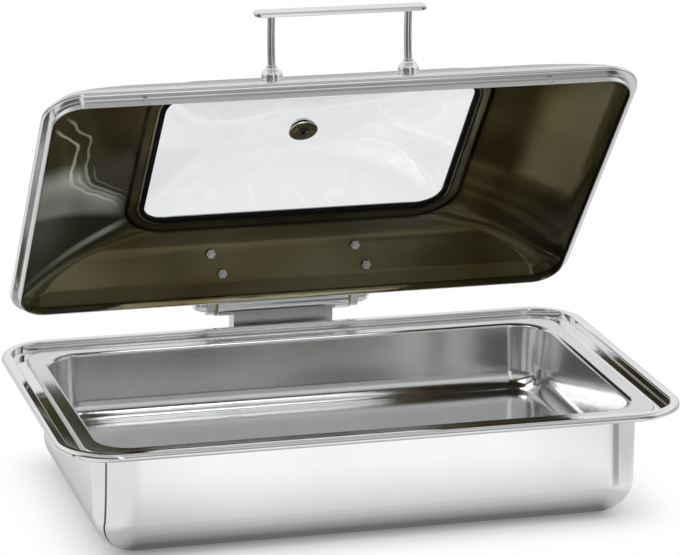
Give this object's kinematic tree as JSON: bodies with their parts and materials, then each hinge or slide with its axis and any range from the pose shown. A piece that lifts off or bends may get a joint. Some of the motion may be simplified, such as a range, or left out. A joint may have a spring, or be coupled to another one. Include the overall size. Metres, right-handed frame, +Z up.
{
  "type": "chafing dish",
  "caption": "Polished steel chafing dish with a removable food pan over a water basin and a hinged lid with a domed glass window, vent button and bar handle.",
  "frame": {"origin": "middle of the underside of the induction plate, on the surface the dish stands on", "axes": "+X to the right seen from the front, +Y to the back where the hinge is, +Z up"},
  "size_m": [0.58, 0.403, 0.4633],
  "materials": {
    "polished_steel": "mirror polished stainless steel",
    "satin_steel": "satin stainless steel",
    "fastener_steel": "plain steel",
    "induction_plate": "brushed",
    "bush_bronze": "sintered",
    "damper_plastic": "moulded",
    "black_rubber": "matte",
    "clear_silicone": "translucent silicone",
    "window_glass": "clear"
  },
  "bodies": {
    "base": {"water_pan": "polished_steel", "base_plate": "induction_plate", "bracket_studs": "fastener_steel", "hinge_bracket": "satin_steel", "bracket_nuts": "fastener_steel", "hinge_housing": "satin_steel", "hinge_bush_left": "bush_bronze", "hinge_bush_right": "bush_bronze", "damper_body": "damper_plastic"},
    "lid": {"lid_shell": "polished_steel", "window_frame": "polished_steel", "vent_cap": "polished_steel", "vent_disc": "polished_steel", "handle_bar": "polished_steel", "handle_post_left": "polished_steel", "handle_post_right": "polished_steel", "handle_ferrules": "polished_steel", "hinge_arm_left": "satin_steel", "hinge_arm_right": "satin_steel", "hinge_shaft": "satin_steel", "shaft_nuts": "satin_steel", "vent_screw": "fastener_steel", "handle_washers": "fastener_steel", "handle_nuts": "fastener_steel", "arm_screws": "fastener_steel", "arm_nuts": "fastener_steel", "damper_rotor": "damper_plastic", "glass_seal": "black_rubber", "vent_seals": "black_rubber", "glass_pane": "window_glass", "lid_bumpers": "clear_silicone"},
    "pan": {"food_pan": "polished_steel"}
  },
  "joints": [
    {"name": "lid_hinge", "type": "hinge", "parent": "base", "child": "lid", "pos_m": [0, 0.205, 0.13], "axis": [1, 0, 0], "range_deg": [0, 49]},
    {"name": "pan_lift", "type": "slide", "parent": "base", "child": "pan", "axis": [0, 0, 1], "range_m": [0, 0.008]}
  ]
}
